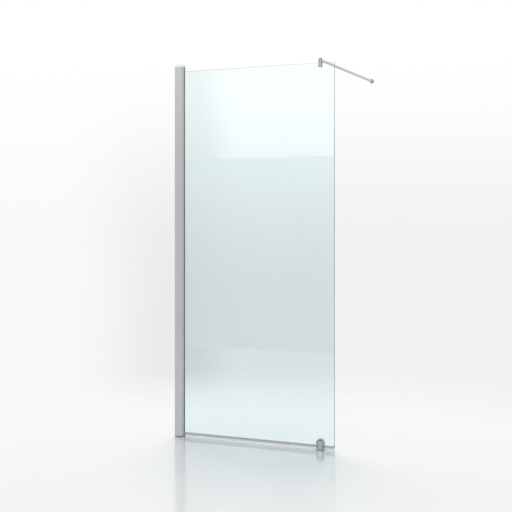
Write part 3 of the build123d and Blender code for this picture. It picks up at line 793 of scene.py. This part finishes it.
class SCREEN_OT_studio(bpy.types.Operator):
    """Set up the pale floor, the backdrop, the soft light and the camera"""
    bl_idname = "shower_screen.studio"
    bl_label = "Studio"

    def execute(self, context):
        studio = context.scene.screen_studio
        self.floor(studio)
        self.backdrop(studio)
        self.lamp("key_lamp", studio.key_strength, studio.key_width, studio.key_aim)
        self.lamp("fill_lamp", studio.fill_strength, studio.fill_width, studio.fill_aim)
        self.camera(studio)
        context.scene.view_settings.view_transform = "Standard"
        return {"FINISHED"}

    def floor(self, studio):
        """A flat grid at height 0, whose lines lie closer near the object."""
        lines, reach = 41, 12.0
        line = np.linspace(-1, 1, lines) ** 3 * reach
        x, y = np.meshgrid(line, line, indexing="ij")
        points = np.stack([x, y, np.zeros_like(x)], axis=-1).reshape(-1, 3)
        i, j = np.meshgrid(np.arange(lines - 1), np.arange(lines - 1), indexing="ij")
        first = i * lines + j
        quads = np.stack([first, first + lines, first + lines + 1, first + 1], axis=-1)
        mesh = bpy.data.meshes.new("floor")
        mesh.from_pydata(points, [], quads.reshape(-1, 4).tolist())
        floor = bpy.data.objects.new("floor", mesh)
        mesh.materials.append(floor_finish(studio.floor, studio.floor_roughness, studio.floor_middle,
                                           studio.floor_solid_to, studio.floor_gone_at))
        bpy.context.scene.collection.objects.link(floor)

    def backdrop(self, studio):
        """A pale world that is seen, mirrored and seen through, and an even light for all other rays.

        Each part of it is a zone of directions: x, y and z are the parts of a ray's direction, and a ramp
        over one of them is the zone's soft edge.
        """
        world = bpy.data.worlds.new("studio")
        bpy.context.scene.world = world
        n = Nodes(world)
        towards = n.add("ShaderNodeTexCoord", output="Generated")
        x, y, z = (n.add("ShaderNodeSeparateXYZ", None, {0: towards}, output=k) for k in range(3))
        camera, glossy, through_glass = (n.add("ShaderNodeLightPath", output=name) for name in
                                         ("Is Camera Ray", "Is Glossy Ray", "Is Transmission Ray"))
        shown = camera + glossy + through_glass
        shown = shown.math("MINIMUM", shown, 1.0)
        # A ray that has passed through the glass counts as glossy too
        reflected = glossy * (1 - through_glass)
        seen, through = self.pale_backdrop(n, x, z, studio)
        pale = n.mix(through_glass, seen, through)
        mirrored = self.mirrored_backdrop(n, x, y, z)
        backdrop = n.add("ShaderNodeBackground", None, {"Color": n.mix(reflected, pale, mirrored)})
        light = n.add("ShaderNodeBackground", None, {"Color": WHITE, "Strength": studio.room_light})
        n.finish(n.add("ShaderNodeMixShader", None, {0: shown, 1: light, 2: backdrop}),
                 "ShaderNodeOutputWorld")

    def pale_backdrop(self, n, x, z, studio):
        """What the camera sees past the object, and through the glass, where painted shade makes it darker
        low down and a painted glow brighter than white lights it higher up.

        Both have a faint shadow behind the wall profile.
        """
        wall, bright = (0.945, 0.95, 0.95, 1.0), (1.13, 1.13, 1.13, 1.0)
        seen = n.mix(n.ramp(0 - x, 0.5, 0.57), opaque(studio.backdrop_low), wall)
        seen = n.mix(n.ramp(z, -0.03, 0.16), seen, opaque(studio.backdrop_high))
        # Through the glass: painted shade darkens the backdrop low down, and a painted glow brighter than
        # white (1.13) fills it higher up
        through = n.mix(n.ramp(z, -0.08, 0.16), opaque(studio.backdrop_behind_painted_shade), bright)
        shadow = n.ramp(x, -0.53, -0.475) * (1 - n.ramp(x, -0.455, -0.41))
        seen = n.mix(shadow * 0.07 * (1 - n.ramp(z, -0.12, 0.15)), seen, BLACK)
        through = n.mix(shadow * 0.14, through, BLACK)
        return seen, through

    def mirrored_backdrop(self, n, x, y, z):
        """What metal and polished faces mirror: a room that is pale at eye level.

        It is brightest a little above that, dark overhead and to the upper left, grey to the left of the
        camera, and dark towards +X but for one tall bright window.
        """
        level, raised = (0.91, 0.915, 0.915, 1.0), (1.25, 1.25, 1.25, 1.0)
        ceiling, overhead = (0.60, 0.605, 0.61, 1.0), (0.14, 0.145, 0.15, 1.0)
        grey, corner = (0.28, 0.29, 0.29, 1.0), (0.16, 0.165, 0.165, 1.0)
        dark, window = (0.15, 0.155, 0.16, 1.0), (1.1, 1.1, 1.1, 1.0)
        zones = ((n.ramp(z, 0.25, 0.6), ceiling),
                 (n.ramp(z, 0.75, 0.97), overhead),
                 (n.ramp(0 - x, 0.5, 0.66) * n.ramp(0 - y, 0.4, 0.6) * 0.8, grey),
                 (n.ramp(0 - x, 0.75, 0.9) * n.ramp(0 - y, 0.1, 0.3) * n.ramp(z, 0.0, 0.1), corner),
                 (n.ramp(x, 0.7, 0.88) * (1 - n.ramp(y, 0.55, 0.75)) * 0.9, dark),
                 (n.ramp(x, 0.96, 0.985) * (1 - n.ramp(y, -0.06, 0.0)), window))
        mirrored = n.mix(n.ramp(z, 0.06, 0.2), level, raised)
        for share, tone in zones:
            mirrored = n.mix(share, mirrored, tone)
        return mirrored

    def lamp(self, name, strength, width, aim):
        """A wide soft lamp far away, which mirrors don't show."""
        data = bpy.data.lights.new(name, "SUN")
        data.energy = strength
        data.angle = width
        lamp = bpy.data.objects.new(name, data)
        flat = math.hypot(aim[0], aim[1])
        lamp.rotation_euler = (math.atan2(flat, -aim[2]), 0.0, math.atan2(-aim[0], aim[1]))
        lamp.visible_camera = False
        lamp.visible_glossy = False
        lamp.visible_transmission = False
        bpy.context.scene.collection.objects.link(lamp)

    def camera(self, studio):
        """A level camera whose shift puts the horizon on its row."""
        data = bpy.data.cameras.new("camera")
        data.lens = data.sensor_width * studio.focal_pixels / PHOTO_SIZE
        data.shift_y = studio.horizon / PHOTO_SIZE - 0.5
        data.clip_end = 500.0
        camera = bpy.data.objects.new("camera", data)
        camera.location = studio.camera_place
        camera.rotation_euler = (math.pi / 2, 0.0, studio.camera_turn)
        bpy.context.scene.collection.objects.link(camera)
        bpy.context.scene.camera = camera


class SCREEN_PT_parts(bpy.types.Panel):
    """Steps that dress the shower screen"""
    bl_idname = "SCREEN_PT_parts"
    bl_label = "Shower screen"
    bl_space_type = "VIEW_3D"
    bl_region_type = "UI"
    bl_category = "Shower screen"

    def draw(self, context):
        for step in steps:
            self.layout.operator(step.bl_idname)
        for group, kind in groups.items():
            column = self.layout.column(align=True)
            for name in kind.__annotations__:
                column.prop(getattr(context.scene, group), name)


steps = (SCREEN_OT_profiles, SCREEN_OT_glass, SCREEN_OT_satin_band, SCREEN_OT_gaskets,
         SCREEN_OT_bottom_seals, SCREEN_OT_liners, SCREEN_OT_hardware, SCREEN_OT_screws,
         SCREEN_OT_plastics, SCREEN_OT_studio)
groups = {"screen_sizes": ScreenSizes, "screen_colours": ScreenColours, "screen_studio": StudioSettings}


def register():
    for item in (*groups.values(), *steps, SCREEN_PT_parts):
        bpy.utils.register_class(item)
    for name, group in groups.items():
        setattr(bpy.types.Scene, name, PointerProperty(type=group))


def unregister():
    for name in groups:
        delattr(bpy.types.Scene, name)
    for item in reversed((*groups.values(), *steps, SCREEN_PT_parts)):
        bpy.utils.unregister_class(item)


def main():
    register()
    for step in steps:
        operator = getattr(bpy.ops.shower_screen, step.bl_idname.split(".")[1])
        if operator() != {"FINISHED"}:
            raise RuntimeError(f"{step.bl_label} didn't finish")


if __name__ == "__main__":
    main()
